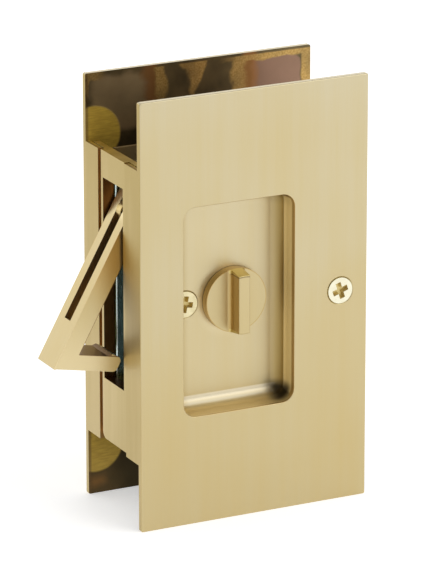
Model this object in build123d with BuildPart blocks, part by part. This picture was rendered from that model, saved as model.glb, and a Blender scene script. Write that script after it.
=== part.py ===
from build123d import *
import math
import os

# Pocket door lock: a privacy lock that slips into a notch in the edge of a sliding door.
# Two cast brass trims clamp the door between them, and a lock case with an edge pull sits in the middle.
# Frame: x = 0 is the door's edge and +X goes into the door, y = 0 is the middle of the door's
# thickness with -Y the room side, z = 0 is the middle of the height and +Z is up. Millimetres.

# Trim castings: plate, recessed cup and edge flange in one piece
plate_width = 79.4
plate_height = 139.7
plate_thickness = 2.0
plate_corner_radius = 0.6
plate_edge_round = 0.4
trim_depth = 9.0
flange_thickness = 1.5
flange_height = 96.0
recess_left = 14.9
recess_width = 38.7
recess_height = 68.5
recess_depth = 9.0
recess_corner = 4.3
recess_floor_round = 4.0
recess_rim_round = 0.3
cup_wall = 2.0

# Lock case between the trims
case_width = 17.0
parting_gap = 2.2
wall_height = 95.0
wall_centre_z = 0.8
wall_corner_round = 2.4
tongue_thickness = 2.0
tongue_length = 8.6
flange_clearance = 0.2
window_side = 1.3
window_height = 66.0
window_centre_z = 6.5
ear_depth = 5.5
ear_height = 4.0
ear_clearance = 0.4
side_plate_thickness = 1.2
side_plate_inset = 0.5
side_plate_length = 53.0
side_plate_edge_round = 0.8
side_plate_corner = 4.0
post_radius = 3.0
tenon_radius = 2.0
rear_post_inset = 6.0
post_end_inset = 9.0

# Edge pull, drawn shut and then swung open about its pivot
pull_thickness = 6.0
pull_top_gap = 2.7
pull_bottom_gap = 0.6
pull_pivot_x = 6.2
pull_pivot_z = 24.6
pull_open_angle = 29.0
pull_stop_angle = 15.0
pull_ear_radius = 3.2
pull_pin_radius = 1.5
pull_slot_width = 4.1
pull_slot_foot = 16.0
pull_foot_step = 0.7
pull_arm_reach = 20.5
pull_arm_thickness = 5.0
pull_arm_slope = 18.1
pull_lip_height = 1.1
pull_lip_length = 5.0
pull_edge_round = 0.25
pull_tip_round = 1.6
washer_radius = 2.4
washer_thickness = 1.0

# Thumbturn on the room side, release on the other side, and what they turn
turn_inset = 21.35
turn_radius = 10.5
turn_disk_height = 2.8
turn_bar_width = 3.9
turn_bar_height = 5.8
turn_bar_setback = 0.9
turn_bar_cove = 1.3
turn_edge_round = 0.4
coin_slot_width = 1.8
coin_slot_depth = 2.0
shank_radius = 4.0
shank_end_gap = 3.4
clip_radius = 6.0
clip_thickness = 0.9
clip_groove_depth = 0.45
spindle_side = 4.0
hub_radius = 8.0
hub_thickness = 3.0
hub_boss_radius = 5.0
hub_flat = 6.8
crank_pin_radius = 1.75
crank_end_radius = 3.5

# Hook bolt
bolt_thickness = 3.0
bolt_pivot_x = 15.0
bolt_pivot_z = 10.0
bolt_pin_radius = 2.5
bolt_eye_radius = 6.0
bolt_neck_radius = 4.2
bolt_reach = 22.4
bolt_rest_angle = 117.0
bolt_swing = 60.0
turn_swing = 90.0
nose_radius = 3.0
barb_length = 6.0
barb_tip_radius = 1.5
tine_width = 2.4
sleeve_radius = 4.0

# Leaf spring that holds the hub at either end of its turn
spring_thickness = 0.5
spring_below = 26.0
spring_above = 12.0
spring_foot_length = 8.0
spring_foot_height = 6.0
rivet_radius = 1.2
rivet_head_radius = 2.2
rivet_head_height = 0.7

# Fasteners
screw_head_radius = 4.25
screw_head_land = 0.5
countersink_radius = 4.7
screw_shank_radius = 2.4
screw_cone_angle = 100.0
cross_length = 5.4
cross_width = 1.8
cross_depth = 1.6
cross_taper = 12.0
plate_cross_turn = 72.0
recess_cross_turn = 10.0
spot_face_margin = 0.05
through_screw_inset = 9.5
through_screw_reach = 24.0
through_post_radius = 3.5
through_post_length = 22.0
recess_screw_reach = 6.0
front_boss_height = 4.0
back_boss_clearance = 0.6
boss_radius = 3.6
ear_screw_radius = 1.2
ear_screw_head_radius = 2.2
ear_screw_length = 5.0
ear_screw_inset = 2.9

# Fits
running_fit = 0.05
side_gap = 0.3
face_gap = 0.2
slide_fit = 0.05

# Places that follow from the sizes above
inner_gap = 2 * trim_depth + case_width + parting_gap
front_inner_y = -inner_gap / 2
front_outer_y = front_inner_y - plate_thickness
back_inner_y = inner_gap / 2
back_outer_y = back_inner_y + plate_thickness
case_front_y = front_inner_y + trim_depth
case_back_y = case_front_y + case_width
case_mid_y = (case_front_y + case_back_y) / 2
inside_front_y = case_front_y + side_plate_thickness
inside_back_y = case_back_y - side_plate_thickness
inside_width = inside_back_y - inside_front_y
pull_width = inside_width - 2 * (washer_thickness + side_gap)
window_width = case_width - 2 * window_side
floor_y = front_outer_y + recess_depth
back_floor_y = -floor_y
back_cup_y = back_inner_y - trim_depth
recess_centre_x = recess_left + recess_width / 2
wall_thickness = flange_thickness + flange_clearance + tongue_thickness
window_top = window_centre_z + window_height / 2
window_bottom = window_centre_z - window_height / 2
ear_top_z = window_top + ear_clearance + ear_height / 2
ear_bottom_z = window_bottom - ear_clearance - ear_height / 2
side_plate_x = wall_thickness + side_plate_inset
ear_screw_x = side_plate_x + ear_screw_inset
case_end_x = side_plate_x + side_plate_length
turn_x = recess_left + turn_inset
spot_face_radius = countersink_radius + spot_face_margin
recess_screw_x = recess_left + spot_face_radius + spot_face_margin
through_screw_x = plate_width - through_screw_inset
spring_x = turn_x + hub_flat + running_fit
rivet_x = spring_x + spring_foot_length - rivet_head_radius - side_gap
rivet_z = -spring_below + spring_foot_height / 2
screw_hole_radius = screw_shank_radius + running_fit

# Mechanism geometry: the crank pin meets the tail of the bolt at both ends of the turn
centre_distance = math.hypot(turn_x - bolt_pivot_x, bolt_pivot_z)
line_angle = math.degrees(math.atan2(-bolt_pivot_z, turn_x - bolt_pivot_x))
half_turn = math.radians(turn_swing / 2)
half_swing = math.radians(bolt_swing / 2)
crank_radius = centre_distance * math.tan(half_swing) / (
    math.sin(half_turn) + math.cos(half_turn) * math.tan(half_swing)
)
crank_rest_angle = line_angle + 180 + turn_swing / 2
tail_rest_angle = line_angle - bolt_swing / 2
tail_inner = centre_distance - crank_radius
tail_outer = crank_radius * math.sin(half_turn) / math.sin(half_swing)


def lost_motion(turned):
    """Sideways distance between the crank pin and the tail's centre line at a part of the turn."""
    across = crank_radius * math.sin(turned)
    along = centre_distance - crank_radius * math.cos(turned)
    lag = math.atan2(across, along) - turned * bolt_swing / turn_swing
    return math.hypot(across, along) * math.sin(lag)


turn_steps = 20
slack = max(lost_motion(half_turn * step / turn_steps) for step in range(turn_steps + 1))
slot_half_width = slack + crank_pin_radius + side_gap
tail_half_width = slot_half_width + tine_width
tail_length = tail_outer + crank_pin_radius + side_gap

# Layers across the case: bolt in the middle, crank behind it
bolt_front_y = case_mid_y - bolt_thickness / 2
bolt_back_y = case_mid_y + bolt_thickness / 2
crank_front_y = bolt_back_y + side_gap + face_gap
crank_back_y = crank_front_y + hub_thickness
back_boss_height = inside_back_y - crank_back_y - back_boss_clearance

# The pull's own outline, with x and z measured from its pivot
pull_face = -pull_pivot_x
pull_back = pull_face + pull_thickness
pull_top = window_top - pull_top_gap - pull_pivot_z
pull_foot = window_bottom + pull_bottom_gap - pull_pivot_z
arm_tip = pull_arm_reach - pull_pivot_x
arm_rise = math.tan(math.radians(pull_arm_slope))
arm_depth = pull_arm_thickness / math.cos(math.radians(pull_arm_slope))
open_angle = math.radians(pull_open_angle)

# The upper front post stops the open pull: it stands clear of the pull's top rear corner
stop_x = pull_pivot_x + pull_back * math.cos(open_angle) + pull_top * math.sin(open_angle)
stop_z = pull_pivot_z - pull_back * math.sin(open_angle) + pull_top * math.cos(open_angle)
stop_angle = math.radians(pull_stop_angle)
post_front_x = stop_x + (post_radius + side_gap) * math.cos(stop_angle)
post_front_z = stop_z + (post_radius + side_gap) * math.sin(stop_angle)
post_rear_x = case_end_x - rear_post_inset
post_rear_z = wall_height / 2 - post_end_inset
posts = [
    (post_front_x, post_front_z),
    (post_front_x, -post_rear_z),
    (post_rear_x, post_rear_z),
    (post_rear_x, -post_rear_z),
]

os.makedirs("parts", exist_ok=True)


def at_y(y):
    """Drawing plane across the door at y: local x is X, local y is Z, and it faces the room side."""
    return Plane.XZ.offset(-y)


def lathe(x, z):
    """Drawing plane for a turned piece on an axis along Y: local x is the radius, local y is Y."""
    return Plane(origin=(x, 0, z), x_dir=(1, 0, 0), z_dir=(0, 0, 1))


def lathe_axis(x, z):
    """Axis along Y through (x, z)."""
    return Axis((x, 0, z), (0, 1, 0))


def polar(centre, radius, degrees):
    """Point at a radius and an angle from a centre, in the X and Z directions."""
    turned = math.radians(degrees)
    return (centre[0] + radius * math.cos(turned), centre[1] + radius * math.sin(turned))


def tapered_link(start, start_radius, end, end_radius):
    """Two circles and the straight flanks that touch both, drawn into the open sketch."""
    span = math.hypot(end[0] - start[0], end[1] - start[1])
    heading = math.degrees(math.atan2(end[1] - start[1], end[0] - start[0]))
    lean = math.degrees(math.acos((start_radius - end_radius) / span))
    with Locations(start):
        Circle(start_radius)
    with Locations(end):
        Circle(end_radius)
    Polygon(
        polar(start, start_radius, heading + lean),
        polar(start, start_radius, heading - lean),
        polar(end, end_radius, heading - lean),
        polar(end, end_radius, heading + lean),
        align=None,
    )


def cone_height(head, shank):
    """Height of a countersunk head between its rim and its shank."""
    return (head - shank) / math.tan(math.radians(screw_cone_angle / 2))


def trim_casting(plate_hole_radius):
    """Room side trim: plate, cup and edge flange, with its screw and thumbturn holes."""
    floor_round = min(recess_floor_round, recess_corner - recess_rim_round)
    with BuildPart() as casting:
        with BuildSketch(at_y(front_inner_y)):
            with Locations((plate_width / 2, 0)):
                RectangleRounded(plate_width, plate_height, plate_corner_radius)
        extrude(amount=plate_thickness)
        fillet(casting.faces().sort_by(Axis.Y)[0].edges(), plate_edge_round)
        with BuildSketch(at_y(case_front_y)):
            with Locations((recess_centre_x, 0)):
                RectangleRounded(recess_width + 2 * cup_wall, recess_height + 2 * cup_wall,
                                 recess_corner + cup_wall)
            with Locations((flange_thickness / 2, 0)):
                Rectangle(flange_thickness, flange_height)
        extrude(amount=trim_depth)
        with BuildSketch(at_y(floor_y)):
            with Locations((recess_centre_x, 0)):
                RectangleRounded(recess_width, recess_height, recess_corner)
        extrude(amount=recess_depth, mode=Mode.SUBTRACT)
        floor = casting.faces().filter_by(Axis.Y).sort_by_distance((recess_centre_x, floor_y, 0))[0]
        fillet(floor.edges(), floor_round)
        rim = casting.faces().sort_by(Axis.Y)[0].inner_wires()[0]
        fillet(rim.edges(), recess_rim_round)
        with BuildSketch(at_y(floor_y)):
            with Locations((recess_screw_x, 0)):
                Circle(spot_face_radius)
        extrude(amount=recess_depth - recess_rim_round, mode=Mode.SUBTRACT)
        with Locations(at_y(floor_y).location * Location((recess_screw_x, 0, 0))):
            CounterSinkHole(screw_hole_radius, countersink_radius, trim_depth, screw_cone_angle)
        with Locations(at_y(floor_y).location * Location((turn_x, 0, 0))):
            Hole(shank_radius + running_fit, trim_depth)
        with Locations(at_y(front_outer_y).location * Location((through_screw_x, 0, 0))):
            CounterSinkHole(plate_hole_radius, countersink_radius, plate_thickness, screw_cone_angle)
    return casting.part


# Trims, one a mirror image of the other
with BuildPart() as front_trim:
    add(trim_casting(screw_hole_radius))
front_trim.part.label = "front_trim"
export_step(front_trim.part, "parts/front_trim.step")

with BuildPart() as back_trim:
    mirror(trim_casting(through_post_radius + slide_fit), about=Plane.XZ)
back_trim.part.label = "back_trim"
export_step(back_trim.part, "parts/back_trim.step")

# Edge wall: the brass face seen in the door's edge, with the pull's window and a tongue behind each flange
with BuildPart() as edge_wall:
    with BuildSketch(Plane.YZ):
        with Locations((case_mid_y, wall_centre_z)):
            Rectangle(case_width, wall_height)
    extrude(amount=wall_thickness)
    lower_edges = edge_wall.edges().filter_by(Axis.X).group_by(Axis.Z)[0]
    fillet(lower_edges.sort_by(Axis.Y)[-1], wall_corner_round)
    with BuildSketch(Plane.YZ.offset(flange_thickness + flange_clearance)):
        with Locations((case_mid_y, wall_centre_z)):
            Rectangle(case_width + 2 * tongue_length, wall_height)
    extrude(amount=tongue_thickness)
    with BuildSketch(Plane.YZ.offset(wall_thickness)):
        with Locations((case_mid_y, ear_top_z), (case_mid_y, ear_bottom_z)):
            Rectangle(inside_width, ear_height)
    extrude(amount=ear_depth)
    with BuildSketch(Plane.YZ):
        with Locations((case_mid_y, window_centre_z)):
            Rectangle(window_width, window_height)
    extrude(amount=wall_thickness, mode=Mode.SUBTRACT)
    with BuildSketch(at_y(inside_back_y)):
        with Locations((ear_screw_x, ear_top_z), (ear_screw_x, ear_bottom_z)):
            Circle(ear_screw_radius + running_fit)
    extrude(amount=inside_width, mode=Mode.SUBTRACT)
edge_wall.part.label = "edge_wall"
export_step(edge_wall.part, "parts/edge_wall.step")

# Holes that both side plates have: bolt post, pull pin and spacer posts
shared_holes = [
    (bolt_pivot_x, bolt_pivot_z, bolt_pin_radius + slide_fit),
    (pull_pivot_x, pull_pivot_z, pull_pin_radius + slide_fit),
    *((post_x, post_z, tenon_radius + slide_fit) for post_x, post_z in posts),
]


def side_plate(inner_y, outer_y, boss_height, holes):
    """Zinc plated side of the case, with a tapped boss for the recess screw on its inner face."""
    facing = 1 if outer_y < inner_y else -1
    with BuildPart() as plate:
        with BuildSketch(at_y(inner_y)) as outline:
            with Locations(((side_plate_x + case_end_x) / 2, wall_centre_z)):
                Rectangle(side_plate_length, wall_height)
            fillet(outline.vertices().group_by(Axis.X)[-1], side_plate_corner)
            for hole_x, hole_z, hole_radius in holes:
                with Locations((hole_x, hole_z)):
                    Circle(hole_radius, mode=Mode.SUBTRACT)
        extrude(amount=facing * side_plate_thickness)
        front_edges = plate.edges().filter_by(Axis.Z).group_by(Axis.X)[0]
        fillet(front_edges.sort_by_distance((side_plate_x, inner_y, 0))[0], side_plate_edge_round)
        with BuildSketch(at_y(inner_y)):
            with Locations((recess_screw_x, 0)):
                Circle(boss_radius)
        extrude(amount=-facing * boss_height)
        with BuildSketch(at_y(outer_y)):
            with Locations((recess_screw_x, 0)):
                Circle(screw_hole_radius)
        extrude(amount=-facing * (side_plate_thickness + boss_height), mode=Mode.SUBTRACT)
        for ear_z in (ear_top_z, ear_bottom_z):
            with BuildSketch(lathe(ear_screw_x, ear_z)):
                with BuildLine():
                    Polyline(
                        (0, outer_y),
                        (ear_screw_head_radius + slide_fit, outer_y),
                        (ear_screw_radius + slide_fit, inner_y),
                        (0, inner_y),
                        close=True,
                    )
                make_face()
            revolve(axis=lathe_axis(ear_screw_x, ear_z), mode=Mode.SUBTRACT)
    return plate


front_holes = [*shared_holes, (turn_x, 0, shank_radius + side_gap)]
front_side_plate = side_plate(inside_front_y, case_front_y, front_boss_height, front_holes)
front_side_plate.part.label = "front_side_plate"
export_step(front_side_plate.part, "parts/front_side_plate.step")

back_holes = [
    *shared_holes,
    (turn_x, 0, hub_boss_radius + running_fit),
    (rivet_x, rivet_z, rivet_radius + slide_fit),
]
back_side_plate = side_plate(inside_back_y, case_back_y, back_boss_height, back_holes)
back_side_plate.part.label = "back_side_plate"
export_step(back_side_plate.part, "parts/back_side_plate.step")

# Spacer posts that hold the side plates apart, shouldered at both ends
with BuildPart() as spacer_posts:
    with BuildSketch(at_y(inside_back_y)):
        with Locations(*posts):
            Circle(post_radius)
    extrude(amount=inside_width)
    with BuildSketch(at_y(case_back_y)):
        with Locations(*posts):
            Circle(tenon_radius)
    extrude(amount=case_width)
spacer_posts.part.label = "spacer_posts"
export_step(spacer_posts.part, "parts/spacer_posts.step")

# Small countersunk screws that fix the side plates to the ears of the edge wall
with BuildPart() as case_screws:
    for ear_z in (ear_top_z, ear_bottom_z):
        for outer_y, inner_y, inward in (
            (case_front_y, inside_front_y, 1),
            (case_back_y, inside_back_y, -1),
        ):
            with BuildSketch(lathe(ear_screw_x, ear_z)):
                with BuildLine():
                    Polyline(
                        (0, outer_y),
                        (ear_screw_head_radius, outer_y),
                        (ear_screw_radius, inner_y),
                        (ear_screw_radius, inner_y + inward * ear_screw_length),
                        (0, inner_y + inward * ear_screw_length),
                        close=True,
                    )
                make_face()
            revolve(axis=lathe_axis(ear_screw_x, ear_z))
case_screws.part.label = "case_screws"
export_step(case_screws.part, "parts/case_screws.step")

# Edge pull: a rocker lever forked by a slot, with a bent arm at its foot that ends in a lip
pull_frame = Plane(
    origin=(pull_pivot_x, case_mid_y, pull_pivot_z),
    x_dir=(math.cos(open_angle), 0, -math.sin(open_angle)),
    z_dir=(0, -1, 0),
)
pull_reach = Axis(pull_frame.origin, pull_frame.x_dir)
slot_foot = pull_foot + pull_slot_foot
arm_foot = pull_foot + pull_foot_step
arm_top_back = arm_foot + arm_rise * (pull_thickness - pull_foot_step) + arm_depth
arm_top_lip = arm_top_back + arm_rise * (arm_tip - pull_lip_length - pull_back)
with BuildPart() as edge_pull:
    with BuildSketch(pull_frame):
        with BuildLine():
            Polyline(
                (pull_face, pull_foot),
                (pull_face + pull_foot_step, arm_foot),
                (arm_tip, arm_foot + arm_rise * (arm_tip - pull_face - pull_foot_step)),
                (arm_tip, arm_top_lip + pull_lip_height),
                (arm_tip - pull_lip_length + pull_lip_height, arm_top_lip + pull_lip_height),
                (arm_tip - pull_lip_length, arm_top_lip),
                (pull_back, arm_top_back),
                (pull_back, pull_top),
                (pull_face, pull_top),
                close=True,
            )
        make_face()
        Circle(pull_ear_radius)
    extrude(amount=pull_width / 2, both=True)
    tip_face = edge_pull.faces().sort_by(pull_reach)[-1]
    fillet(tip_face.edges().filter_by(Axis.Y), pull_tip_round)
    with BuildSketch(pull_frame):
        with Locations((pull_back, (slot_foot + pull_top) / 2)):
            Rectangle(2 * (pull_thickness + pull_ear_radius), pull_top - slot_foot)
    extrude(amount=pull_slot_width / 2, both=True, mode=Mode.SUBTRACT)
    with BuildSketch(pull_frame):
        Circle(pull_pin_radius + running_fit)
    extrude(amount=pull_width / 2, both=True, mode=Mode.SUBTRACT)
    foot_edges = edge_pull.edges().filter_by(Axis.Y).sort_by(Axis.X)[0]
    fillet(foot_edges, pull_edge_round)
edge_pull.part.label = "edge_pull"
export_step(edge_pull.part, "parts/edge_pull.step")

# Stub pins that the pull swings on, one from each side plate, stopping short of the slot
pull_slot_half = pull_slot_width / 2
with BuildPart() as pull_pins:
    with BuildSketch(at_y(case_mid_y - pull_slot_half - side_gap)):
        with Locations((pull_pivot_x, pull_pivot_z)):
            Circle(pull_pin_radius)
    extrude(amount=case_width / 2 - pull_slot_half - side_gap)
    with BuildSketch(at_y(case_back_y)):
        with Locations((pull_pivot_x, pull_pivot_z)):
            Circle(pull_pin_radius)
    extrude(amount=case_width / 2 - pull_slot_half - side_gap)
pull_pins.part.label = "pull_pins"
export_step(pull_pins.part, "parts/pull_pins.step")

# Friction washers on the stub pins, between the pull and the side plates
with BuildPart() as friction_washers:
    for low_y in (inside_front_y, inside_back_y - washer_thickness):
        with BuildSketch(at_y(low_y + washer_thickness)):
            with Locations((pull_pivot_x, pull_pivot_z)):
                Circle(washer_radius)
                Circle(pull_pin_radius + slide_fit, mode=Mode.SUBTRACT)
        extrude(amount=washer_thickness)
friction_washers.part.label = "friction_washers"
export_step(friction_washers.part, "parts/friction_washers.step")

# Hook bolt: eye, arm with a rounded nose and a barb, and a forked tail with a widened slot
bolt_eye = (bolt_pivot_x, bolt_pivot_z)
nose = polar(bolt_eye, bolt_reach, bolt_rest_angle)
barb_tip = polar(nose, barb_length, 90 - bolt_swing)
tail_frame = Plane(
    origin=(bolt_pivot_x, bolt_back_y, bolt_pivot_z),
    x_dir=(math.cos(math.radians(tail_rest_angle)), 0, math.sin(math.radians(tail_rest_angle))),
    z_dir=(0, -1, 0),
)
with BuildPart() as hook_bolt:
    with BuildSketch(at_y(bolt_back_y)):
        with Locations(bolt_eye):
            Circle(bolt_eye_radius)
        tapered_link(bolt_eye, bolt_neck_radius, nose, nose_radius)
        tapered_link(nose, nose_radius, barb_tip, barb_tip_radius)
    extrude(amount=bolt_thickness)
    with BuildSketch(tail_frame):
        with Locations((tail_length / 2, 0)):
            Rectangle(tail_length, 2 * tail_half_width)
        with Locations(((tail_inner + tail_outer) / 2, 0)):
            Ellipse((tail_outer - tail_inner) / 2 + crank_pin_radius + side_gap, slot_half_width,
                    mode=Mode.SUBTRACT)
        with Locations((tail_outer + tail_length / 2, 0)):
            Rectangle(tail_length, 2 * (crank_pin_radius + side_gap), mode=Mode.SUBTRACT)
    extrude(amount=bolt_thickness)
    with BuildSketch(at_y(bolt_back_y)):
        with Locations(bolt_eye):
            Circle(bolt_pin_radius + running_fit)
    extrude(amount=bolt_thickness, mode=Mode.SUBTRACT)
hook_bolt.part.label = "hook_bolt"
export_step(hook_bolt.part, "parts/hook_bolt.step")

# Post that the hook bolt swings on, riveted flush into both side plates
with BuildPart() as bolt_post:
    with BuildSketch(at_y(case_back_y)):
        with Locations(bolt_eye):
            Circle(bolt_pin_radius)
    extrude(amount=case_width)
bolt_post.part.label = "bolt_post"
export_step(bolt_post.part, "parts/bolt_post.step")

# Sleeves on that post, which keep the bolt in the middle of the case
with BuildPart() as bolt_sleeves:
    for low_y, high_y in (
        (inside_front_y, bolt_front_y - side_gap),
        (bolt_back_y + side_gap, inside_back_y),
    ):
        with BuildSketch(at_y(high_y)):
            with Locations(bolt_eye):
                Circle(sleeve_radius)
                Circle(bolt_pin_radius + slide_fit, mode=Mode.SUBTRACT)
        extrude(amount=high_y - low_y)
bolt_sleeves.part.label = "bolt_sleeves"
export_step(bolt_sleeves.part, "parts/bolt_sleeves.step")

# Crank hub: a lever on the spindle with a boss in the rear side plate and two flats for the spring
turn_centre = (turn_x, 0)
crank_end = polar(turn_centre, crank_radius, crank_rest_angle)
with BuildPart() as drive_hub:
    with BuildSketch(at_y(crank_back_y)):
        with Locations(turn_centre):
            Circle(hub_radius)
        tapered_link(turn_centre, hub_flat, crank_end, crank_end_radius)
        with Locations((turn_x + hub_flat + hub_radius, 0)):
            Rectangle(2 * hub_radius, 2 * hub_radius, mode=Mode.SUBTRACT)
        with Locations((turn_x, hub_flat + hub_radius)):
            Rectangle(2 * hub_radius, 2 * hub_radius, mode=Mode.SUBTRACT)
    extrude(amount=hub_thickness)
    with BuildSketch(at_y(case_back_y)):
        with Locations(turn_centre):
            Circle(hub_boss_radius)
    extrude(amount=case_back_y - crank_back_y)
    with BuildSketch(at_y(case_back_y)):
        with Locations(turn_centre):
            Rectangle(spindle_side + 2 * slide_fit, spindle_side + 2 * slide_fit)
        with Locations(crank_end):
            Circle(crank_pin_radius + slide_fit)
    extrude(amount=case_back_y - crank_front_y, mode=Mode.SUBTRACT)
drive_hub.part.label = "drive_hub"
export_step(drive_hub.part, "parts/drive_hub.step")

# Crank pin: set in the crank, passes through the slot of the bolt's tail
with BuildPart() as crank_pin:
    with BuildSketch(at_y(crank_back_y)):
        with Locations(crank_end):
            Circle(crank_pin_radius)
    extrude(amount=crank_back_y - bolt_front_y + side_gap)
crank_pin.part.label = "crank_pin"
export_step(crank_pin.part, "parts/crank_pin.step")

# Thumbturn: disk with an upright bar whose flanks are coved and whose ends slope in, on a hollow shank
disk_back_y = floor_y - face_gap
disk_front_y = disk_back_y - turn_disk_height
bar_front_y = disk_front_y - turn_bar_height
shank_end_y = bolt_front_y - shank_end_gap
clip_front_y = inside_front_y + face_gap
spindle_front_y = case_front_y
with BuildPart() as thumbturn:
    with BuildSketch(lathe(turn_x, 0)):
        with BuildLine():
            Polyline(
                (0, disk_back_y),
                (turn_radius, disk_back_y),
                (turn_radius, disk_front_y),
                (turn_radius - turn_bar_setback, bar_front_y),
                (0, bar_front_y),
                close=True,
            )
        make_face()
    revolve(axis=lathe_axis(turn_x, 0))
    with BuildSketch(Plane.XY.offset(-turn_radius)):
        for side in (-1, 1):
            flank = turn_x + side * turn_bar_width / 2
            foot = flank + side * turn_bar_cove
            outside = turn_x + side * 2 * turn_radius
            with BuildLine():
                Line((flank, bar_front_y), (flank, disk_front_y - turn_bar_cove))
                RadiusArc(
                    (flank, disk_front_y - turn_bar_cove),
                    (foot, disk_front_y),
                    side * turn_bar_cove,
                )
                Polyline(
                    (foot, disk_front_y),
                    (outside, disk_front_y),
                    (outside, bar_front_y),
                    (flank, bar_front_y),
                )
            make_face()
    extrude(amount=2 * turn_radius, mode=Mode.SUBTRACT)
    fillet(thumbturn.faces().sort_by(Axis.Y)[0].edges(), turn_edge_round)
    with BuildSketch(at_y(shank_end_y)):
        with Locations(turn_centre):
            Circle(shank_radius)
    extrude(amount=shank_end_y - disk_back_y)
    with BuildSketch(at_y(clip_front_y + clip_thickness)):
        with Locations(turn_centre):
            Circle(shank_radius)
            Circle(shank_radius - clip_groove_depth, mode=Mode.SUBTRACT)
    extrude(amount=clip_thickness, mode=Mode.SUBTRACT)
    with BuildSketch(at_y(shank_end_y)):
        with Locations(turn_centre):
            Rectangle(spindle_side + 2 * slide_fit, spindle_side + 2 * slide_fit)
    extrude(amount=shank_end_y - spindle_front_y, mode=Mode.SUBTRACT)
thumbturn.part.label = "thumbturn"
export_step(thumbturn.part, "parts/thumbturn.step")

# Release on the other side: a disk with a coin slot
release_disk_y = back_floor_y + face_gap
release_face_y = release_disk_y + turn_disk_height
release_end_y = case_back_y + side_gap
release_clip_y = back_cup_y - face_gap
with BuildPart() as release_turn:
    with BuildSketch(at_y(release_face_y)):
        with Locations(turn_centre):
            Circle(turn_radius)
    extrude(amount=turn_disk_height)
    fillet(release_turn.faces().sort_by(Axis.Y)[-1].edges(), turn_edge_round)
    with BuildSketch(at_y(release_face_y)):
        with Locations(turn_centre):
            Rectangle(coin_slot_width, 2 * turn_radius)
    extrude(amount=coin_slot_depth, mode=Mode.SUBTRACT)
    with BuildSketch(at_y(release_disk_y)):
        with Locations(turn_centre):
            Circle(shank_radius)
    extrude(amount=release_disk_y - release_end_y)
    with BuildSketch(at_y(release_clip_y)):
        with Locations(turn_centre):
            Circle(shank_radius)
            Circle(shank_radius - clip_groove_depth, mode=Mode.SUBTRACT)
    extrude(amount=clip_thickness, mode=Mode.SUBTRACT)
    with BuildSketch(at_y(back_floor_y)):
        with Locations(turn_centre):
            Rectangle(spindle_side + 2 * slide_fit, spindle_side + 2 * slide_fit)
    extrude(amount=back_floor_y - release_end_y, mode=Mode.SUBTRACT)
release_turn.part.label = "release_turn"
export_step(release_turn.part, "parts/release_turn.step")


def retaining_ring(back_y):
    """Flat ring in the groove of a shank."""
    with BuildPart() as ring:
        with BuildSketch(at_y(back_y)):
            with Locations(turn_centre):
                Circle(clip_radius)
                Circle(shank_radius - clip_groove_depth + slide_fit, mode=Mode.SUBTRACT)
        extrude(amount=clip_thickness)
    return ring


# Retaining rings in the grooves of both shanks
thumbturn_clip = retaining_ring(clip_front_y + clip_thickness)
thumbturn_clip.part.label = "thumbturn_clip"
export_step(thumbturn_clip.part, "parts/thumbturn_clip.step")

release_clip = retaining_ring(release_clip_y)
release_clip.part.label = "release_clip"
export_step(release_clip.part, "parts/release_clip.step")

# Square spindle through the thumbturn, the hub and the release
with BuildPart() as spindle:
    with BuildSketch(at_y(back_floor_y)):
        with Locations(turn_centre):
            Rectangle(spindle_side, spindle_side)
    extrude(amount=back_floor_y - spindle_front_y)
spindle.part.label = "spindle"
export_step(spindle.part, "parts/spindle.step")

# Leaf spring that lies along the hub's flat, with a foot on the rear side plate
with BuildPart() as detent_spring:
    with BuildSketch(at_y(inside_back_y)):
        with Locations((spring_x + spring_thickness / 2, (spring_above - spring_below) / 2)):
            Rectangle(spring_thickness, spring_above + spring_below)
    extrude(amount=inside_back_y - crank_front_y)
    with BuildSketch(at_y(inside_back_y)):
        with Locations((spring_x + spring_foot_length / 2, rivet_z)):
            Rectangle(spring_foot_length, spring_foot_height)
    extrude(amount=spring_thickness)
    with BuildSketch(at_y(inside_back_y)):
        with Locations((rivet_x, rivet_z)):
            Circle(rivet_radius + slide_fit)
    extrude(amount=spring_thickness, mode=Mode.SUBTRACT)
detent_spring.part.label = "detent_spring"
export_step(detent_spring.part, "parts/detent_spring.step")

# Rivet that holds the spring's foot to the rear side plate
rivet_seat_y = inside_back_y - spring_thickness
with BuildPart() as spring_rivet:
    with BuildSketch(lathe(rivet_x, rivet_z)):
        with BuildLine():
            Polyline(
                (0, case_back_y),
                (rivet_radius, case_back_y),
                (rivet_radius, rivet_seat_y),
                (rivet_head_radius, rivet_seat_y),
                (rivet_head_radius / 2, rivet_seat_y - rivet_head_height),
                (0, rivet_seat_y - rivet_head_height),
                close=True,
            )
        make_face()
    revolve(axis=lathe_axis(rivet_x, rivet_z))
spring_rivet.part.label = "spring_rivet"
export_step(spring_rivet.part, "parts/spring_rivet.step")


def cross_head_screw(x, seat_y, tip_y, cross_turn):
    """Machine screw along Y with a cross recess, its head seated in a countersink that opens at seat_y."""
    inward = 1 if tip_y > seat_y else -1
    rim_y = seat_y + inward * cone_height(countersink_radius, screw_head_radius)
    head_y = rim_y - inward * screw_head_land
    neck_y = rim_y + inward * cone_height(screw_head_radius, screw_shank_radius)
    with BuildPart() as screw:
        with BuildSketch(lathe(x, 0)):
            with BuildLine():
                Polyline(
                    (0, head_y),
                    (screw_head_radius, head_y),
                    (screw_head_radius, rim_y),
                    (screw_shank_radius, neck_y),
                    (screw_shank_radius, tip_y),
                    (0, tip_y),
                    close=True,
                )
            make_face()
        revolve(axis=lathe_axis(x, 0))
        with BuildSketch(Plane(origin=(x, head_y, 0), x_dir=(1, 0, 0), z_dir=(0, inward, 0))):
            Rectangle(cross_length, cross_width, rotation=cross_turn)
            Rectangle(cross_width, cross_length, rotation=cross_turn)
        extrude(amount=cross_depth, taper=cross_taper, mode=Mode.SUBTRACT)
    return screw


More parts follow.
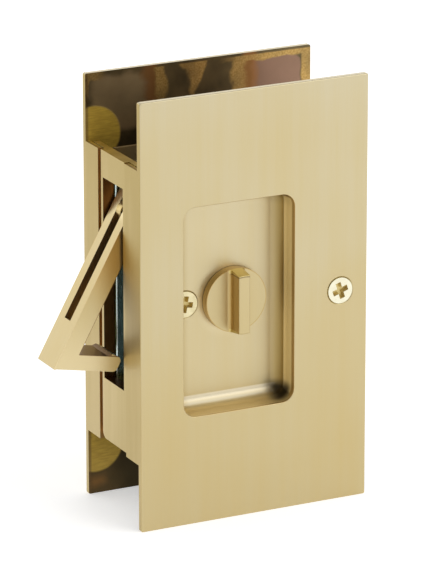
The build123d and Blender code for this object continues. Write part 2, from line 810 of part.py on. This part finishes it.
# Screws through the cup floors into the case, and the screw through the front plate
front_screw_tip_y = case_front_y + recess_screw_reach
front_recess_screw = cross_head_screw(recess_screw_x, floor_y, front_screw_tip_y, recess_cross_turn)
front_recess_screw.part.label = "front_recess_screw"
export_step(front_recess_screw.part, "parts/front_recess_screw.step")

back_screw_tip_y = inside_back_y - back_boss_height
back_recess_screw = cross_head_screw(recess_screw_x, back_floor_y, back_screw_tip_y, recess_cross_turn)
back_recess_screw.part.label = "back_recess_screw"
export_step(back_recess_screw.part, "parts/back_recess_screw.step")

through_screw_tip_y = front_outer_y + through_screw_reach
through_screw = cross_head_screw(through_screw_x, front_outer_y, through_screw_tip_y, plate_cross_turn)
through_screw.part.label = "through_screw"
export_step(through_screw.part, "parts/through_screw.step")

# Threaded post in the back plate that takes the through screw
post_rim_y = back_outer_y - cone_height(countersink_radius, screw_head_radius)
post_head_y = post_rim_y + screw_head_land
post_neck_y = post_rim_y - cone_height(screw_head_radius, through_post_radius)
with BuildPart() as through_post:
    with BuildSketch(lathe(through_screw_x, 0)):
        with BuildLine():
            Polyline(
                (0, post_head_y),
                (screw_head_radius, post_head_y),
                (screw_head_radius, post_rim_y),
                (through_post_radius, post_neck_y),
                (through_post_radius, back_outer_y - through_post_length),
                (screw_hole_radius, back_outer_y - through_post_length),
                (screw_hole_radius, back_inner_y),
                (0, back_inner_y),
                close=True,
            )
        make_face()
    revolve(axis=lathe_axis(through_screw_x, 0))
through_post.part.label = "through_post"
export_step(through_post.part, "parts/through_post.step")
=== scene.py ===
import math

import bpy
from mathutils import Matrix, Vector


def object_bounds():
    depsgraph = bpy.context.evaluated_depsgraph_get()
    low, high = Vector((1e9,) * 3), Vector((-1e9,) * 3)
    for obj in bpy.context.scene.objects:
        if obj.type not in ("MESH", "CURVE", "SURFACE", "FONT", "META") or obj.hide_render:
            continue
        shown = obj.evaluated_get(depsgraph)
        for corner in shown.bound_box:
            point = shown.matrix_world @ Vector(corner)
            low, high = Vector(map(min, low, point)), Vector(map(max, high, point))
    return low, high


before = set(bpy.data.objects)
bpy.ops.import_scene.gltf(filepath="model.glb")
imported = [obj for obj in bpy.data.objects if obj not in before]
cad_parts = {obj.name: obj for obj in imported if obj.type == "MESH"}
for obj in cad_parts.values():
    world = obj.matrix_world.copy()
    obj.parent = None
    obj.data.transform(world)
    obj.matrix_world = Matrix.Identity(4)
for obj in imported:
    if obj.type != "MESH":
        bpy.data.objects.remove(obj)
cad_low, cad_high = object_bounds()


# Trims: two cast brass plates, each with a recessed cup and an edge flange in one piece.
# Outside they are brushed up and down to a satin finish; inside, the casting keeps its heat tarnish.
# A screw through the plate, further from the door's edge than the cup, draws them together on the door.
class Wire:
    """A shader socket whose arithmetic adds Math nodes to its own material."""

    def __init__(self, tree, socket=None):
        self.tree = tree
        self.socket = socket

    def node(self, kind, settings, values, output=0):
        """Adds a node of a kind with its settings and the values or links of its sockets."""
        made = self.tree.nodes.new(kind)
        for name, setting in settings.items():
            if name == "stops":
                ramp = made.color_ramp.elements
                while len(ramp) < len(setting):
                    ramp.new(1.0)
                for stop, (place, colour) in zip(ramp, setting):
                    stop.position = place
                    stop.color = colour
            else:
                setattr(made, name, setting)
        for name, value in values.items():
            if isinstance(value, Wire):
                self.tree.links.new(value.socket, made.inputs[name])
            else:
                made.inputs[name].default_value = value
        return Wire(self.tree, made.outputs[output] if made.outputs else None)

    def maths(self, operation, first, second):
        return self.node("ShaderNodeMath", {"operation": operation}, {0: first, 1: second})

    def __add__(self, other):
        return self.maths("ADD", self, other)

    def __radd__(self, other):
        return self.maths("ADD", other, self)

    def __sub__(self, other):
        return self.maths("SUBTRACT", self, other)

    def __rsub__(self, other):
        return self.maths("SUBTRACT", other, self)

    def __mul__(self, other):
        return self.maths("MULTIPLY", self, other)

    def __rmul__(self, other):
        return self.maths("MULTIPLY", other, self)

    def __or__(self, other):
        return self.maths("MAXIMUM", self, other)

    def __abs__(self):
        return self.maths("ABSOLUTE", self, 0.0)


def start_finish(name):
    """A new material with nothing in it, and the place on the piece in metres."""
    material = bpy.data.materials.new(name)
    material.use_nodes = True
    material.node_tree.nodes.clear()
    place = Wire(material.node_tree).node("ShaderNodeTexCoord", {}, {}, output="Object")
    return material, place


def end_finish(place, **sockets):
    """Closes a material with one shader made from the given sockets."""
    named = {key.replace("_", " ").title().replace("Ior", "IOR"): value for key, value in sockets.items()}
    shader = place.node("ShaderNodeBsdfPrincipled", {}, named)
    place.node("ShaderNodeOutputMaterial", {}, {"Surface": shader})


def axes_of(place):
    return [place.node("ShaderNodeSeparateXYZ", {}, {"Vector": place}, output=n) for n in range(3)]


def distance_from(across, along):
    """How far a place is from the point where both of its offsets are 0."""
    return across.maths("SQRT", across * across + along * along, 0.0)


def rise(value, low, high):
    """0 below low and 1 above high, with a soft step between."""
    return value.node(
        "ShaderNodeMapRange", {"interpolation_type": "SMOOTHSTEP"},
        {"Value": value, "From Min": low, "From Max": high},
    )


def fall(value, low, high):
    """1 below low and 0 above high, with a soft step between."""
    return 1 - rise(value, low, high)


def between(value, low, high, soft):
    """1 from low to high and 0 outside, with borders soft to either side."""
    return rise(value, low - soft, low + soft) * fall(value, high - soft, high + soft)


def grain(place, across, along, detail):
    """Noise drawn out up and down: its size across the brushing and along it, in metres."""
    stretched = place.node(
        "ShaderNodeVectorMath", {"operation": "MULTIPLY"},
        {0: place, 1: (1 / across, 1 / across, 1 / along)},
    )
    return place.node("ShaderNodeTexNoise", {}, {"Vector": stretched, "Scale": 1.0, "Detail": detail})


def mottle(place, size, detail):
    """Noise with cells of about this size in metres."""
    return place.node("ShaderNodeTexNoise", {}, {"Vector": place, "Scale": 1 / size, "Detail": detail})


def shades(tone, *stops):
    """The colour that a tone stands for, between colours given at points from 0 to 1."""
    return tone.node("ShaderNodeValToRGB", {"stops": stops}, {"Fac": tone})


def blend_colours(factor, first, second):
    return factor.node(
        "ShaderNodeMix", {"data_type": "RGBA"}, {0: factor, 6: first, 7: second}, output=2,
    )


def lay_over(colour, *layers):
    """Lays colours over another in turn, each as strongly as the mask given with it says."""
    for mask, layer in layers:
        colour = blend_colours(mask, colour, layer)
    return colour


def bump(height, strength, distance):
    return height.node("ShaderNodeBump", {}, {"Strength": strength, "Distance": distance, "Height": height})


def brushed_brass(place, lean):
    """Colour, roughness and bump height of satin brass brushed up and down, paler where lean is higher."""
    fine = grain(place, 0.00016, 0.02, 2.0)
    wide = grain(place, 0.004, 0.09, 2.0)
    cloud = mottle(place, 0.04, 1.0)
    tone = 0.12 * fine + 0.16 * wide + 0.3 * cloud + 0.2 + lean
    colour = shades(
        tone,
        (0.12, (0.435, 0.325, 0.110, 1)), (0.3, (0.555, 0.435, 0.205, 1)),
        (0.5, (0.565, 0.468, 0.258, 1)), (0.68, (0.580, 0.506, 0.330, 1)),
    )
    return colour, 0.34 + 0.08 * fine, fine


def place_on(material, *names):
    for name in names:
        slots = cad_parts[name].data.materials
        slots.clear()
        slots.append(material)


brush_strength, brush_depth = 0.12, 0.00002
lacquer, lacquer_roughness = 0.15, 0.25

trim_finish, place = start_finish("satin_brass_trim")
x, y, z = axes_of(place)

# Which of its surfaces are finished: the outside, the cup and the edge flange.
depth = abs(y)
from_mid_height = abs(z)
outside = rise(depth, 0.01865, 0.0187)
in_cup = between(x, 0.0137, 0.0548, 0.0001) * fall(from_mid_height, 0.0353, 0.0355)
cup = in_cup * rise(depth, 0.0105, 0.0107)
edge_face = fall(x, 0.00005, 0.0001)
flange_end = fall(x, 0.0015, 0.0016) * fall(depth, 0.0098, 0.0102)
edge = edge_face | flange_end
finished = outside | cup | edge
bare = 1 - finished

# Painted light and shade: the plates are painted paler towards the top, and the edge faces deeper in tone and
# darker towards the top.
plate_painted_light = (z | z * 0.5) * 2.0
edge_painted_shade = -0.29 - z * 1.2
satin, satin_rough, satin_height = brushed_brass(place, plate_painted_light + (edge_painted_shade - plate_painted_light) * edge)

# The cup: its floor is rubbed pale; painted highlights lie along the bottom border, beside the thumbturn and
# on the left rim, painted light on the walls, and painted shade in the rounded borders, the right corners and
# as a copper tint along the right rims.
cup_middle = 0.03425
cup_floor_level = 0.0116
turn_axis = 0.03625
cup_height = depth - cup_floor_level
cup_reach = abs(x - cup_middle)
below = fall(z, -0.01, 0.01)
cup_floor = cup * fall(cup_height, 0.0002, 0.0006)
# Painted highlight: a pale band is painted where the floor turns into the bottom border, with its peak
# painted greyer.
bottom_painted_highlight = cup * below * rise(from_mid_height, 0.0302, 0.0306) * fall(cup_height, 0.0002, 0.0008)
bottom_highlight_tone = cup * below * rise(from_mid_height, 0.0308, 0.0316) * between(cup_height, 0.0005, 0.0013, 0.0004)
turn_x = x - turn_axis
# Painted light: the floor left of the thumbturn is painted paler, lifting the shade the disk casts there.
turn_painted_light = cup * fall(distance_from(turn_x, z), 0.0106, 0.0140) * fall(turn_x, -0.008, 0.003)
# Painted shade: the floor and rounded border are painted darker towards the side walls.
side_painted_shade = cup * rise(cup_reach, 0.0128, 0.0192) * fall(cup_height, 0.0021, 0.0025)
end_tarnish = cup * rise(from_mid_height, 0.0320, 0.0340) * between(cup_height, 0.0016, 0.0080, 0.0006)
# Painted shade: the upper rounded border of the cup is painted brown.
upper_painted_shade = cup * rise(z, 0.0316, 0.0330) * fall(cup_height, 0.0070, 0.0078)
# Painted light: the cup's walls are painted a warmer, paler brass and made less metallic.
side_wall_painted_light = cup * rise(cup_reach, 0.0186, 0.0190) * between(cup_height, 0.0024, 0.0074, 0.0002)
end_wall_painted_light = cup * below * rise(from_mid_height, 0.0330, 0.0342) * between(cup_height, 0.0018, 0.0084, 0.0006)
# Painted shade: the right corners of the cup are painted near black, the lower one most.
corner = rise(x, 0.0462, 0.0516) * rise(from_mid_height, 0.0284, 0.0318)
corner_painted_shade = cup * corner * fall(cup_height, 0.0045, 0.0089)
near_rim = in_cup * between(cup_height, 0.0085, 0.00894, 0.00004)
# Painted highlight: the rim on the left side of the cup is painted pale.
left_rim_painted_highlight = near_rim * fall(x, 0.0155, 0.0175)
# Painted shade: a copper-brown line is painted along the right rim and the right parts of the upper and lower
# rims.
end_rim_painted_shade = near_rim * rise(x, 0.0165, 0.0260)
side_rim_painted_shade = in_cup * rise(x, 0.0520, 0.0530) * rise(cup_height, 0.0068, 0.0074)
side_rim_painted_shade = side_rim_painted_shade * fall(cup_height, 0.00885, 0.00892)

rubbed_brass = (0.800, 0.700, 0.480, 1)
bottom_highlight_brass = (0.800, 0.720, 0.540, 1)
bottom_highlight_grey = (0.455, 0.408, 0.300, 1)
turn_light_brass = (0.780, 0.670, 0.420, 1)
side_shade_olive = (0.330, 0.210, 0.035, 1)
upper_shade_brown = (0.330, 0.220, 0.060, 1)
wall_light_brass = (0.850, 0.635, 0.255, 1)
corner_shade_black = (0.020, 0.012, 0.003, 1)
rim_highlight_brass = (0.800, 0.700, 0.450, 1)
rim_shade_copper = (0.400, 0.220, 0.035, 1)
# Painted shade: the flange's end faces beside the parting gap are painted copper-brown.
flange_end_painted_shade = (0.460, 0.240, 0.075, 1)
satin = lay_over(
    satin,
    (cup_floor * 0.12, rubbed_brass),
    (bottom_painted_highlight * 0.75, bottom_highlight_brass),
    (bottom_highlight_tone * 0.8, bottom_highlight_grey),
    (turn_painted_light * 0.35, turn_light_brass),
    (side_painted_shade * 0.8, side_shade_olive),
    (upper_painted_shade * 0.7, upper_shade_brown),
    (side_wall_painted_light * 0.9 | end_wall_painted_light * 0.45, wall_light_brass),
    (corner_painted_shade * (0.25 + 0.7 * below), corner_shade_black),
    (left_rim_painted_highlight * 0.8, rim_highlight_brass),
    (side_rim_painted_shade * 0.85 | end_rim_painted_shade * (0.95 - 0.35 * below), rim_shade_copper),
    (flange_end * (1 - edge_face) * 0.85, flange_end_painted_shade),
)

# The inside: brown heat tarnish with stains and runs above, darker towards the bottom, and two bright milled
# circles; a glint is painted at the top left corner and painted shade along the side edge.
heat = mottle(place, 0.011, 4.0)
wander = (mottle(place, 0.007, 3.0) - 0.5) * 0.006
across = x + wander
height = z + wander * 0.6
upper = rise(height, 0.045, 0.056)
# Darker brown towards the bottom, and darker still away from the side edge.
darker_below = fall(z, -0.045, -0.02)
warm_spot = between(across, 0.001, 0.006, 0.002) * between(height, -0.0672, -0.0640, 0.0016)
brown_stain = between(across, 0.003, 0.0215, 0.0025) * between(height, 0.050, 0.0684, 0.0012)
mauve_x = (across - 0.0725) | 0.0
mauve_z = (height - 0.0642) | 0.0
mauve_stain = rise(across, 0.0576, 0.0594) * fall(distance_from(mauve_x, mauve_z), 0.0028, 0.0038)
orange_rim = (between(across, 0.0205, 0.0252, 0.0016) | between(across, 0.0555, 0.0605, 0.0018)) * upper
# Painted highlight: a gold glint is painted along the top left corner.
corner_painted_glint = between(across, 0.0004, 0.0020, 0.0004) | rise(height, 0.0672, 0.0680)
corner_painted_glint = corner_painted_glint * fall(across, 0.004, 0.008) * rise(height, 0.0605, 0.0650)
drip_middle = 0.0378
drip_half_width = 0.0004 + (z - 0.0588) * 0.40
gold_run = (
    between(across, 0.0243, 0.0280, 0.0009)
    | fall(abs(across - drip_middle) - drip_half_width, -0.0008, 0.0008)
    | between(across, 0.0512, 0.0565, 0.0011)
    | rise(across, 0.0758, 0.0768)
    | rise(across, 0.0450, 0.0550) * rise(height, 0.0668, 0.0676)
)
gold_run = gold_run * upper * fall(z, 0.0688, 0.0692) * (0.55 + 0.45 * rise(heat, 0.35, 0.6))
milled_x, milled_z, milled_drop = 0.0028, 0.0515, 0.0018
milled_distance = distance_from(x - milled_x, abs(z + milled_drop) - milled_z)
milled_circle = fall(milled_distance, 0.0088, 0.0098)
# Painted shade: a dark line is painted along the plate's rounded side edge.
side_edge_painted_shade = fall(x, 0.0007, 0.0013)

tarnish = shades(
    heat,
    (0.30, (0.080, 0.062, 0.030, 1)), (0.50, (0.138, 0.102, 0.047, 1)), (0.72, (0.205, 0.146, 0.066, 1)),
)
gold_tone = shades(
    mottle(place, 0.0006, 2.0), (0.35, (0.44, 0.265, 0.075, 1)), (0.65, (0.62, 0.405, 0.135, 1)),
)
milled_tone = shades(
    grain(place, 0.003, 0.0005, 3.0), (0.3, (0.43, 0.27, 0.034, 1)), (0.7, (0.57, 0.38, 0.052, 1)),
)
below_brown = (0.080, 0.047, 0.014, 1)
below_black = (0.032, 0.024, 0.008, 1)
warm_brown = (0.260, 0.125, 0.035, 1)
pale_brown = (0.470, 0.340, 0.180, 1)
mauve = (0.310, 0.182, 0.122, 1)
orange_brown = (0.380, 0.170, 0.050, 1)
side_edge_shade_brown = (0.130, 0.075, 0.028, 1)
inside = lay_over(
    tarnish,
    (darker_below * 0.7, below_brown),
    (darker_below * rise(across, 0.004, 0.015) * 0.8, below_black),
    (warm_spot * 0.6, warm_brown),
    (brown_stain * (0.4 + 0.8 * heat), pale_brown),
    (mauve_stain * (0.55 + 0.6 * heat), mauve),
    (orange_rim * 0.75, orange_brown),
    (gold_run | corner_painted_glint * 0.7, gold_tone),
    (milled_circle, milled_tone),
    (side_edge_painted_shade * 0.6, side_edge_shade_brown),
)
satin_rough = satin_rough + 0.08 * edge + 0.14 * (side_painted_shade | end_tarnish)
tarnish_rough = 0.42
dulled = 0.6 * milled_circle * bare + (0.9 * side_wall_painted_light | 0.5 * side_rim_painted_shade | 0.25 * end_wall_painted_light)
end_finish(
    place,
    base_color=blend_colours(finished, inside, satin),
    roughness=finished * satin_rough + bare * tarnish_rough,
    metallic=1 - dulled,
    normal=bump(satin_height * finished + heat * bare, brush_strength, brush_depth),
    coat_weight=lacquer,
    coat_roughness=lacquer_roughness,
)
place_on(trim_finish, "front_trim", "back_trim")


# Edge wall: the brass face that shows in the door's edge, with the pull's window cut through it.
# Its face is brushed like the trims; its back and ears are left as machined and have gone dull.
wall_finish, place = start_finish("satin_brass_edge_wall")
x, y, z = axes_of(place)
case_middle = -0.0011
window_middle_z = 0.0065
face = fall(x, 0.00005, 0.0001)
off_middle = abs(y - case_middle)
window_side = fall(off_middle, 0.00725, 0.00735) * fall(abs(z - window_middle_z), 0.0332, 0.0334)
tongue = rise(off_middle, 0.0086, 0.0088) * fall(z, 0.0470, 0.0474)
# Painted shade: the face is painted deeper in tone and darker towards the top.
satin, satin_rough, satin_height = brushed_brass(place, -0.3 - z * 1.4)
dull_tone = shades(
    mottle(place, 0.008, 3.0), (0.35, (0.46, 0.36, 0.11, 1)), (0.65, (0.62, 0.49, 0.17, 1)),
)
# Painted shade: the window's jambs are painted dark brown.
jamb_painted_shade = (0.200, 0.078, 0.018, 1)
# Painted reflected light: the tongue seen in the parting gap is painted orange, for warm light bounced
# between the brass faces.
tongue_painted_bounce = (0.520, 0.240, 0.060, 1)
dull_tone = lay_over(dull_tone, (window_side * 0.95, jamb_painted_shade), (tongue * 0.8, tongue_painted_bounce))
machined_rough = 0.4
end_finish(
    place,
    base_color=blend_colours(face, dull_tone, satin),
    roughness=face * satin_rough + (1 - face) * machined_rough,
    metallic=1.0,
    normal=bump(satin_height, brush_strength, brush_depth),
    coat_weight=lacquer,
    coat_roughness=lacquer_roughness,
)
place_on(wall_finish, "edge_wall")


# Side plates, posts, pins, hub and spindle of the case: steel with a bright zinc plating of a blue cast.
# The plates are stamped and the round pieces turned, and small screws hold the plates to the wall's ears.
# Above the window the plating is painted dark brown and dulled, as painted shade inside the open case.
zinc_finish, place = start_finish("zinc_plated_steel")
x, y, z = axes_of(place)
# Painted shade: above the window the plating is painted dark brown.
top_painted_shade = rise(z, 0.0405, 0.0435)
scuff = grain(place, 0.0004, 0.006, 2.0)
zinc_tone = shades(
    mottle(place, 0.005, 3.0), (0.35, (0.52, 0.64, 0.63, 1)), (0.65, (0.66, 0.77, 0.75, 1)),
)
top_shade_brown = (0.200, 0.125, 0.035, 1)
end_finish(
    place,
    base_color=blend_colours(top_painted_shade * 0.95, zinc_tone, top_shade_brown),
    roughness=0.22 + 0.08 * scuff + 0.3 * top_painted_shade,
    metallic=1 - 0.35 * top_painted_shade,
    normal=bump(scuff, 0.05, 0.00002),
)
place_on(
    zinc_finish, "front_side_plate", "back_side_plate", "spacer_posts", "case_screws", "pull_pins",
    "bolt_post", "bolt_sleeves", "drive_hub", "crank_pin", "spindle", "spring_rivet",
)


# Edge pull: a cast brass lever forked by a slot, with a bent arm and a lip to hook a finger behind.
# It is brushed along its length and swings on two stub pins near its top.
# Its flanks carry a painted highlight low down and painted shade near the window, its front a painted
# highlight at its upper end, and the arm's inner sides painted shade; the slot's sides are brown.
pull_finish, place = start_finish("satin_brass_pull")
x, y, z = axes_of(place)
pivot_x, pivot_z = 0.0062, 0.0246
open_angle = math.radians(29.0)
lever_back = -0.0002
slot_half_width = 0.00205
arm_slope, arm_drop = 0.3269, 0.0427
off_x = x - pivot_x
off_z = z - pivot_z
out_of_edge = off_x * math.cos(open_angle) - off_z * math.sin(open_angle)
along_lever = off_x * math.sin(open_angle) + off_z * math.cos(open_angle)
above_arm = along_lever - (out_of_edge * arm_slope - arm_drop)
off_middle = abs(y - case_middle)
flank = rise(off_middle, 0.00590, 0.00596)
# Painted highlight: the lower part of the flanks is painted paler.
flank_painted_highlight = flank * fall(z, -0.018, 0.006)
# Painted shade: the flanks are painted brown towards the window.
flank_painted_shade = flank * rise(along_lever, -0.0300, -0.0100)
# Painted highlight: the upper end of the lever's front face is painted pale gold.
front_painted_highlight = fall(out_of_edge, -0.00608, -0.00600) * rise(along_lever, -0.0005, 0.0045)
# Painted shade: the arm's inner sides and the lever's back are painted dark brown.
inner_painted_shade = (
    fall(abs(out_of_edge - lever_back), 0.0001, 0.0002) * rise(above_arm, -0.0001, 0.0001)
    | fall(abs(above_arm), 0.00015, 0.00025) * rise(out_of_edge, -0.0003, -0.0001)
    | between(out_of_edge, 0.0093, 0.0104, 0.0001) * rise(above_arm, 0.0, 0.0002)
)
slot_side = fall(abs(off_middle - slot_half_width), 0.00003, 0.00006)
slot_side = slot_side * rise(along_lever, -0.0347, -0.0346) * rise(out_of_edge, -0.00612, -0.00604)
flank_highlight_brass = (0.720, 0.600, 0.350, 1)
flank_shade_brown = (0.500, 0.300, 0.080, 1)
front_highlight_gold = (0.950, 0.810, 0.470, 1)
inner_shade_brown = (0.180, 0.098, 0.035, 1)
slot_brown = (0.280, 0.140, 0.045, 1)
satin, satin_rough, satin_height = brushed_brass(place, -0.12)
end_finish(
    place,
    base_color=lay_over(
        satin,
        (flank_painted_highlight * 0.8, flank_highlight_brass),
        (flank_painted_shade * 0.75, flank_shade_brown),
        (front_painted_highlight * 0.9, front_highlight_gold),
        (inner_painted_shade * 0.92, inner_shade_brown),
        (slot_side * 0.6, slot_brown),
    ),
    roughness=satin_rough,
    metallic=1.0,
    normal=bump(satin_height, brush_strength, brush_depth),
    coat_weight=lacquer,
    coat_roughness=lacquer_roughness,
)
place_on(pull_finish, "edge_pull")


# Friction washers: milky nylon rings, punched from sheet.
# They sit on the stub pins beside the pull and grip it where it is left.
washer_finish, place = start_finish("milky_nylon")
milk = mottle(place, 0.002, 2.0)
milk_tone = shades(milk, (0.3, (0.62, 0.60, 0.54, 1)), (0.7, (0.74, 0.72, 0.67, 1)))
end_finish(place, base_color=milk_tone, roughness=0.4 + 0.1 * milk)
place_on(washer_finish, "friction_washers")


# Hook bolt: a flat brass latch with a rounded nose, stamped and tumbled so that its edges are soft.
# It swings on the bolt post out through the pull's slot.
bolt_finish, place = start_finish("tumbled_brass_bolt")
tumble = mottle(place, 0.0015, 3.0)
bolt_tone = shades(tumble, (0.3, (0.52, 0.38, 0.13, 1)), (0.7, (0.66, 0.52, 0.24, 1)))
end_finish(
    place,
    base_color=bolt_tone,
    roughness=0.22 + 0.2 * tumble,
    metallic=1.0,
    normal=bump(tumble, 0.2, 0.00003),
)
place_on(bolt_finish, "hook_bolt")


# Thumbturn and release: turned brass disks on shanks, finished by hand to a fine satin.
# One has an upright bar to turn it by and the other a coin slot, and a spindle joins them.
# The rim and the flanks of the bar are painted brown as painted shade, and a dark line of painted shade runs
# along the top of the bar's end.
turn_finish, place = start_finish("satin_brass_turn")
x, y, z = axes_of(place)
depth = abs(y)
turn_x = x - turn_axis
radius = distance_from(turn_x, z)
rim = rise(radius, 0.0102, 0.0104) * fall(depth, 0.0146, 0.0147)
bar_end = rise(radius, 0.0093, 0.0096) * rise(depth, 0.0147, 0.0148)
flank = fall(abs(turn_x), 0.0020, 0.0040) * between(depth, 0.0146, 0.0201, 0.00004) * (1 - bar_end)
# Painted shade: a dark line is painted along the top of the bar's end.
bar_end_painted_shade = between(radius, 0.0090, 0.0094, 0.0001) * rise(depth, 0.0148, 0.0152) * rise(z, 0.0, 0.001)
# Painted shade: the disk's rim and the bar's flanks are painted brown.
turn_painted_shade = (0.44, 0.250, 0.036, 1)
end_gold = (0.62, 0.49, 0.16, 1)
bar_end_shade_line = (0.12, 0.07, 0.02, 1)
satin, satin_rough, satin_height = brushed_brass(place, -0.08)
end_finish(
    place,
    base_color=lay_over(
        satin,
        (rim * 0.6 | flank * 0.62, turn_painted_shade),
        (bar_end * 0.8, end_gold),
        (bar_end_painted_shade * 0.6, bar_end_shade_line),
    ),
    roughness=satin_rough,
    metallic=1.0,
    normal=bump(satin_height, brush_strength, brush_depth),
    coat_weight=lacquer,
    coat_roughness=0.2,
)
place_on(turn_finish, "thumbturn", "release_turn")


# Detent spring and retaining rings: blued spring steel, bare and a little oily.
# The spring is a bent strip riveted to a side plate, and the rings snap into grooves in the shanks.
spring_finish, place = start_finish("spring_steel")
oil = mottle(place, 0.003, 3.0)
spring_tone = shades(oil, (0.35, (0.10, 0.11, 0.13, 1)), (0.65, (0.20, 0.21, 0.24, 1)))
end_finish(place, base_color=spring_tone, roughness=0.25 + 0.15 * oil, metallic=1.0)
place_on(spring_finish, "detent_spring", "thumbturn_clip", "release_clip")


# Screws and the threaded post: polished brass, bright on top and dark gold in the cross.
# The recess screws hold the trims to the case, and the plate screw draws the halves together on its post.
def polished_screw(name, axis_x, head_level, dim, light, *nodes):
    """Bright brass with a dark cross: the axis of the screw and the level of its head from the middle."""
    material, place = start_finish(name)
    x, y, z = axes_of(place)
    off_axis = distance_from(x - axis_x, z)
    cross = fall(off_axis, 0.0029, 0.0030) * fall(abs(y), head_level - 0.0002, head_level - 0.00005)
    polish = mottle(place, 0.002, 2.0)
    bright = shades(polish, (0.3, dim), (0.7, light))
    cross_gold = (0.66, 0.53, 0.22, 1)
    end_finish(
        place,
        base_color=blend_colours(cross, bright, cross_gold),
        roughness=0.12 + 0.1 * polish + 0.15 * cross,
        metallic=1 - 0.4 * cross,
    )
    place_on(material, *nodes)


polished_screw(
    "polished_plate_screw", 0.0699, 0.02072, (0.74, 0.70, 0.52, 1), (0.80, 0.77, 0.60, 1),
    "through_screw", "through_post",
)
# Painted reflection: the recess screws are the same brass as the plate screw, painted darker and more golden
# for the brass cup they reflect.
polished_screw(
    "polished_recess_screw", 0.0197, 0.01172, (0.60, 0.52, 0.30, 1), (0.72, 0.64, 0.40, 1),
    "front_recess_screw", "back_recess_screw",
)


# Stage: a plain pale floor under the lock, in a white room with three soft studio lamps.
# The camera looks from the photograph's side, a little from above and towards the open edge.
floor_size = 6.0
bpy.ops.mesh.primitive_plane_add(size=floor_size, location=(0, 0, cad_low.z))
floor = bpy.context.object
floor.name = "floor"
floor_finish, place = start_finish("pale_floor")
end_finish(
    place, base_color=(0.9, 0.9, 0.9, 1), roughness=0.9, specular_ior_level=0.0,
    emission_color=(1, 1, 1, 1), emission_strength=0.45,
)
floor.data.materials.append(floor_finish)

world = bpy.data.worlds.new("studio")
bpy.context.scene.world = world
world.use_nodes = True
world.node_tree.nodes.clear()
room = Wire(world.node_tree)
sky = room.node("ShaderNodeBackground", {}, {"Color": (1, 1, 1, 1), "Strength": 0.6})
room.node("ShaderNodeOutputWorld", {}, {"Surface": sky})


def aim(thing, azimuth, elevation, distance):
    """Stands a lamp or camera off the middle of the plates, by degrees round and up, and points it there."""
    a, e = math.radians(azimuth), math.radians(elevation)
    away = Vector((math.sin(a) * math.cos(e), -math.cos(a) * math.cos(e), math.sin(e)))
    plate_middle = Vector((0.0397, 0, 0))
    thing.location = plate_middle + away * distance
    thing.rotation_mode = "QUATERNION"
    thing.rotation_quaternion = (-away).to_track_quat("-Z", "Y")
    bpy.context.scene.collection.objects.link(thing)


def softbox(name, azimuth, elevation, size, power):
    """A square lamp 1 m from the lock."""
    light = bpy.data.lights.new(name, "AREA")
    light.size = size
    light.energy = power
    lamp = bpy.data.objects.new(name, light)
    lamp.visible_camera = False
    aim(lamp, azimuth, elevation, distance=1.0)


softbox("front_right_softbox", azimuth=40, elevation=38, size=0.9, power=3.6)
softbox("back_left_softbox", azimuth=-151, elevation=16, size=0.7, power=1.3)
softbox("back_right_softbox", azimuth=153, elevation=20, size=0.7, power=1.2)

frame_height_px = 575
shift_right_px, shift_up_px = -7.9, -1.8
camera_data = bpy.data.cameras.new("photo_camera")
camera_data.sensor_width = 36.0
camera_data.lens = 295.4
camera_data.shift_x = shift_right_px / frame_height_px
camera_data.shift_y = shift_up_px / frame_height_px
camera_data.clip_end = 20
camera = bpy.data.objects.new("photo_camera", camera_data)
aim(camera, azimuth=-26.68, elevation=17.84, distance=1.494)
bpy.context.scene.camera = camera
bpy.context.scene.view_settings.view_transform = "Standard"
